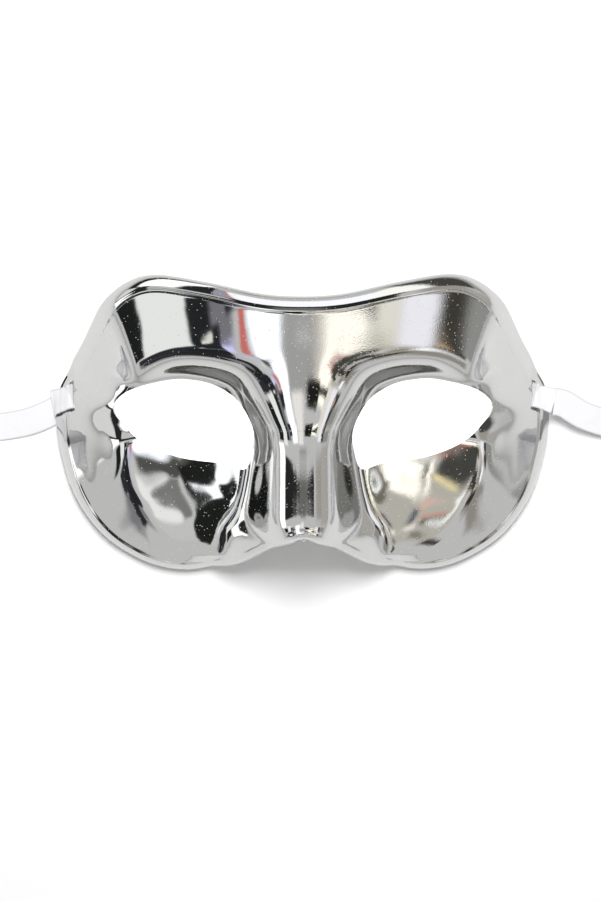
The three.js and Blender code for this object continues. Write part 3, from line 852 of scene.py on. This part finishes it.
# %% Cards in the surroundings
# Each card: name, across, up, half width, half height, softness (degrees), colour.
CARDS_ON_THE_FOREHEAD = [
    ("dark gap at the left temple", -75.5, -20.5, 8.5, 6.5, 2, (0.02, 0.022, 0.022)),
    ("window's lower edge", -64, -33, 4, 6, 3, (1.1, 1.12, 1.1)),
    ("left window", -59, -21, 8.6, 11, 1.6, (1.28, 1.3, 1.28)),
    ("dark gap beside the window", -45.2, -24, 5.4, 9, 2, (0.025, 0.028, 0.03)),
    ("grey beyond", -37, -23, 4.5, 9, 3, (0.28, 0.28, 0.31)),
    ("lilac lamp", -35.5, -32.5, 3, 2, 2, (1.0, 0.98, 1.5)),
    ("red banner", -28.3, -31, 1.4, 7, 1.5, (0.9, 0.25, 0.22)),
    ("main soft box", -18, -24, 7.6, 13, 4, (1.9, 1.97, 2.15)),
    ("grey middle", -1, -29, 8, 6, 4, (0.55, 0.55, 0.54)),
    ("pale column", -4, -17, 4, 8, 3, (1.3, 1.25, 1.2)),
    ("dark right of the column", 8, -22, 6, 3, 2.5, (0.04, 0.04, 0.035)),
    ("warm white box", 20, -28, 11, 6, 3, (1.85, 1.78, 1.6)),
    ("dull middle of the warm box", 8, -30, 2.5, 2.5, 4, (1.0, 0.94, 0.84)),
    ("red scarf", 21, -33.7, 5, 0.7, 1, (0.75, 0.22, 0.18)),
    ("grey gold", 37, -27, 7, 8, 5, (1.2, 1.17, 1.05)),
    ("grey shade over the right brow", 42, -32.5, 9, 2.5, 2.5, (0.75, 0.72, 0.62)),
    ("lilac white", 51, -22, 7, 9, 3, (1.35, 1.35, 1.45)),
    ("dark right side", 66, -21, 7, 9, 3, (0.07, 0.066, 0.055)),
    ("gold lamp", 62, -26, 2, 1.5, 2, (0.9, 0.65, 0.4)),
    ("grey right side", 78, -18, 10, 7, 4, (0.42, 0.42, 0.4)),
]
CARDS_ROUND_THE_NOSE = [
    ("dark ceiling", -31, 15.8, 64, 21.4, 1.2, (0.03, 0.03, 0.03)),
    ("light wall under the ceiling", -41, 16, 21, 12, 3, (0.85, 0.85, 0.84)),
    ("grey beam", -1, 2, 8, 8.2, 5, (0.22, 0.22, 0.21)),
    ("grey ceiling on the right", 58, 10, 16, 16, 10, (0.5, 0.48, 0.43)),
    ("white strip left of the ceiling", -84, -4.5, 12, 6.5, 3, (2.2, 2.2, 2.2)),
    ("grey strip right of the ceiling", 80, 3, 12, 12, 5, (0.6, 0.58, 0.55)),
]
CARDS_UNDER_THE_BROWS = [
    ("shade under the left brow", -62, -46, 17, 11, 6, (0.3, 0.3, 0.32)),
    ("dark under the left brow", -65, -51, 7.5, 6, 2, (0.04, 0.04, 0.045)),
    ("dark below the window", -63, -36.5, 14, 6.5, 2.5, (0.04, 0.042, 0.05)),
    ("blue grey below the lamps", -30, -39, 6, 5, 3, (0.75, 0.76, 0.9)),
    ("shade under the right brow", 62, -45, 17, 9, 6, (0.42, 0.4, 0.36)),
    ("far end of the red scarf", 36, -40.2, 4, 0.8, 1.2, (0.6, 0.2, 0.17)),
    ("white end of the warm box", 44, -41.6, 4, 1.2, 1.5, (1.3, 1.1, 0.95)),
    ("gold line", 50, -43.6, 7, 0.9, 1.5, (0.9, 0.8, 0.55)),
    ("window on the right", 59, -36, 4, 3.5, 3, (1.6, 1.6, 1.6)),
]
CARDS_ON_THE_CHEEKS = [
    ("white below the nose tip", 0, -43, 3.2, 10, 2, (1.7, 1.7, 1.7)),
    ("grey below left", -24, -49, 9, 13, 4, (0.85, 0.86, 0.85)),
    ("dark corner", -17, -38.5, 8, 3, 2.5, (0.12, 0.12, 0.11)),
    ("light fork", -25, -48, 2.5, 7, 2.5, (1.3, 1.3, 1.28)),
    ("grey between the forks", -20, -48, 2, 6, 2, (0.3, 0.3, 0.29)),
    ("dark doorway", -7.5, -51, 8, 13, 2, (0.02, 0.022, 0.02)),
    ("top of the white door", -5, -41.3, 3, 3.3, 1.5, (1.8, 1.85, 1.9)),
    ("foot of the white door", -9.5, -46.8, 3.4, 3.6, 1.5, (1.8, 1.85, 1.9)),
    ("warm silver", 19, -50, 15, 15, 4, (0.72, 0.7, 0.62)),
    ("olive shade by the nose", 4.5, -45, 2.2, 7, 1.5, (0.25, 0.24, 0.19)),
    ("top of the first streak", 8.5, -38.5, 3.3, 3, 1.2, (2.2, 2.1, 1.9)),
    ("foot of the first streak", 11, -43.8, 2.4, 2.6, 1.2, (2.0, 1.9, 1.7)),
    ("olive between the streaks", 14.3, -39, 1.2, 3, 1, (0.35, 0.33, 0.27)),
    ("top of the second streak", 18.2, -38, 1.2, 3.2, 1, (2.1, 2.0, 1.8)),
    ("foot of the second streak", 16.8, -43.5, 1.2, 2.8, 1, (2.0, 1.9, 1.7)),
    ("grey beside the second streak", 23.5, -39, 2.6, 3.6, 1.5, (0.42, 0.41, 0.36)),
    ("gold gap", 21, -42, 1.2, 1.6, 1, (1.3, 1.1, 0.6)),
    ("outer streak", 27, -50, 1.6, 5.5, 1.5, (1.5, 1.5, 1.45)),
    ("pink shelf", 18, -48, 3, 0.9, 1.2, (1.1, 0.75, 0.62)),
    ("blue grey hollow", 14, -51.5, 2.2, 3.5, 1.2, (0.2, 0.21, 0.24)),
    ("red box on the shelf", 20.5, -52.5, 2, 0.9, 1, (1.1, 0.4, 0.3)),
    ("dark shelf", 23.5, -55, 1.8, 1.8, 1.2, (0.2, 0.19, 0.16)),
    ("pale shelf", 16, -57.7, 3, 1.2, 1.2, (1.3, 1.2, 1.1)),
    ("dull floor on the right", 21, -62, 4, 1.6, 1.5, (0.35, 0.33, 0.29)),
    ("dark floor on the right", 40, -66, 12, 3, 4, (0.09, 0.085, 0.08)),
]
CARDS_ALONG_THE_LIP = [
    ("dark over the left temple", -97, 52, 17, 32, 5, (0.025, 0.026, 0.026)),
    ("white over the window", -62, 58, 18, 28, 5, (1.8, 1.82, 1.8)),
    ("dark over the gap", -33, 56, 10, 24, 4, (0.03, 0.032, 0.034)),
    ("lilac over the middle", -18, 56, 5, 22, 4, (0.5, 0.48, 0.6)),
    ("red over the middle", -13, 56, 1.2, 22, 1.5, (0.8, 0.35, 0.33)),
    ("white over the middle", 2, 56, 13, 20, 4, (1.6, 1.62, 1.7)),
    ("white over the right", 30, 56, 17, 24, 5, (1.6, 1.58, 1.5)),
    ("dark over the right temple", 67, 56, 20, 32, 6, (0.09, 0.088, 0.08)),
    ("grey over the right temple", 98, 50, 10, 32, 6, (0.4, 0.4, 0.38)),
    ("pale wall by the left temple", -86, 17, 8, 10, 3, (1.05, 1.05, 1.04)),
]
CARDS_OF_THE_BROW_ARCS = [
    ("dark end of the left arc", -54, -46.5, 13, 4.5, 2, (0.03, 0.03, 0.035)),
    ("dark middle of the left arc", -47, -38.5, 9, 4, 1.5, (0.025, 0.027, 0.032)),
    ("dark bend of the left arc", -42.7, -30.8, 4.5, 3.6, 1.5, (0.03, 0.032, 0.036)),
    ("dark foot of the left arc", -30, -24.3, 5, 2.3, 1.5, (0.03, 0.032, 0.036)),
    ("small lamp", -44, -28.6, 2.4, 0.6, 1, (1.2, 1.18, 1.1)),
    ("dark foot of the right arc", 8.5, -24.8, 6.5, 3.3, 1, (0.02, 0.02, 0.018)),
    ("dark rise of the right arc", 22, -26, 12, 1.2, 0.8, (0.02, 0.02, 0.018)),
    ("dark bend of the right arc", 33, -33.8, 5, 1.2, 1, (0.03, 0.03, 0.025)),
    ("dark of the right arc", 27.5, -37, 6, 3, 1.2, (0.09, 0.09, 0.08)),
    ("dark middle of the right arc", 38, -42.8, 8, 3.4, 1.5, (0.07, 0.07, 0.06)),
    ("dark end of the right arc", 53, -47.5, 8, 2.6, 2, (0.05, 0.047, 0.04)),
]
FRONT_CARDS = [
    *CARDS_ON_THE_FOREHEAD, *CARDS_ROUND_THE_NOSE, *CARDS_UNDER_THE_BROWS, *CARDS_ON_THE_CHEEKS,
    *CARDS_ALONG_THE_LIP, *CARDS_OF_THE_BROW_ARCS,
]
SOFT_LIGHT = 0.5
WAVER_BELOW_BROW, LEAST_WAVER = 9.0, 1.2
BETWEEN_CARDS = 0.8
world = bpy.data.worlds.new("studio")
scene.world = world
world.use_nodes = True
tree = world.node_tree
background = tree.nodes["Background"]


def value_node(operation, *inputs):
    """A Math node; each input is a number or another node's output."""
    node = tree.nodes.new("ShaderNodeMath")
    node.operation = operation
    for socket, value in zip(node.inputs, inputs):
        if isinstance(value, (int, float)):
            socket.default_value = value
        else:
            tree.links.new(value, socket)
    return node.outputs[0]


def inside(angle, middle, half_width, soft):
    """1 within half_width degrees of middle, fading to 0 over soft degrees."""
    away = value_node("ABSOLUTE", value_node("SUBTRACT", angle, middle))
    fade = tree.nodes.new("ShaderNodeMapRange")
    fade.interpolation_type = "SMOOTHSTEP"
    fade.inputs["From Min"].default_value = half_width + soft / 2
    fade.inputs["From Max"].default_value = half_width - soft / 2
    tree.links.new(away, fade.inputs["Value"])
    return fade.outputs["Result"]


direction = tree.nodes.new("ShaderNodeTexCoord")
parts = tree.nodes.new("ShaderNodeSeparateXYZ")
tree.links.new(direction.outputs["Generated"], parts.inputs[0])
across = value_node("DEGREES", value_node("ARCTAN2", parts.outputs["X"], parts.outputs["Z"]))
upward = value_node("DEGREES", value_node("ARCSINE", parts.outputs["Y"]))
waver = tree.nodes.new("ShaderNodeTexNoise")
waver.inputs["Scale"].default_value = 7.0
waver.inputs["Detail"].default_value = 1.0
tree.links.new(direction.outputs["Generated"], waver.inputs["Vector"])
waver_parts = tree.nodes.new("ShaderNodeSeparateColor")
tree.links.new(waver.outputs["Color"], waver_parts.inputs[0])
below_brow = inside(upward, -62, 28, 8)
amount = value_node("ADD", value_node("MULTIPLY", below_brow, WAVER_BELOW_BROW), LEAST_WAVER)
waver_across = value_node("SUBTRACT", waver_parts.outputs[0], 0.5)
across = value_node("ADD", across, value_node("MULTIPLY", amount, waver_across))
waver_upward = value_node("SUBTRACT", waver_parts.outputs[1], 0.5)
upward = value_node("ADD", upward, value_node("MULTIPLY", amount, waver_upward))
colour = None
for name, at, up, half_width, half_height, soft, shade in FRONT_CARDS:
    share = value_node(
        "MULTIPLY", inside(across, at, half_width, soft), inside(upward, up, half_height, soft),
    )
    mix = tree.nodes.new("ShaderNodeMix")
    mix.data_type = "RGBA"
    mix.label = name
    tree.links.new(share, mix.inputs["Factor"])
    if colour is None:
        mix.inputs["A"].default_value = (BETWEEN_CARDS, BETWEEN_CARDS, BETWEEN_CARDS, 1)
    else:
        tree.links.new(colour, mix.inputs["A"])
    mix.inputs["B"].default_value = (*shade, 1)
    colour = mix.outputs["Result"]
tree.links.new(colour, background.inputs["Color"])
soft_light_all_round = tree.nodes.new("ShaderNodeBackground")
soft_light_all_round.inputs["Color"].default_value = (1, 1, 1, 1)
soft_light_all_round.inputs["Strength"].default_value = SOFT_LIGHT
light_path = tree.nodes.new("ShaderNodeLightPath")
chosen = tree.nodes.new("ShaderNodeMixShader")
tree.links.new(light_path.outputs["Is Glossy Ray"], chosen.inputs["Fac"])
tree.links.new(soft_light_all_round.outputs[0], chosen.inputs[1])
tree.links.new(background.outputs[0], chosen.inputs[2])
tree.links.new(chosen.outputs[0], tree.nodes["World Output"].inputs["Surface"])
print(len(FRONT_CARDS), "cards round the mask")

# %% [markdown]
# A large soft light above, a little to the brow's side, lights the table and throws soft
# shadows towards the chin. A small fill under each eye keeps the table pale in the eye
# holes, as paper lit from below is.


# %% Lights
def soft_light(name, place_mm, aim_mm, size_mm, power, spread=180):
    """A rectangular area light that the mirror doesn't show."""
    data = bpy.data.lights.new(name, "AREA")
    data.shape = "RECTANGLE"
    data.size, data.size_y = (length * MM for length in size_mm)
    data.energy = power
    data.spread = math.radians(spread)
    light = bpy.data.objects.new(name, data)
    aim = Vector(aim_mm) - Vector(place_mm)
    turned = aim.to_track_quat("-Z", "Y").to_matrix().to_4x4()
    light.matrix_world = Matrix.Translation(Vector(place_mm) * MM) @ turned
    light.visible_camera = False
    light.visible_glossy = False
    scene.collection.objects.link(light)
    return light


soft_light("key above the brow", (40, 220, 840), (0, -20, 0), (340, 340), 6.1)
for side, word in ((-1, "left"), (1, "right")):
    under_eye = (40 * side, 6, 22)
    soft_light(f"fill under the {word} eye", under_eye, (40 * side, 6, 0), (56, 34), 0.012, 80)
scene.view_settings.view_transform = "Standard"
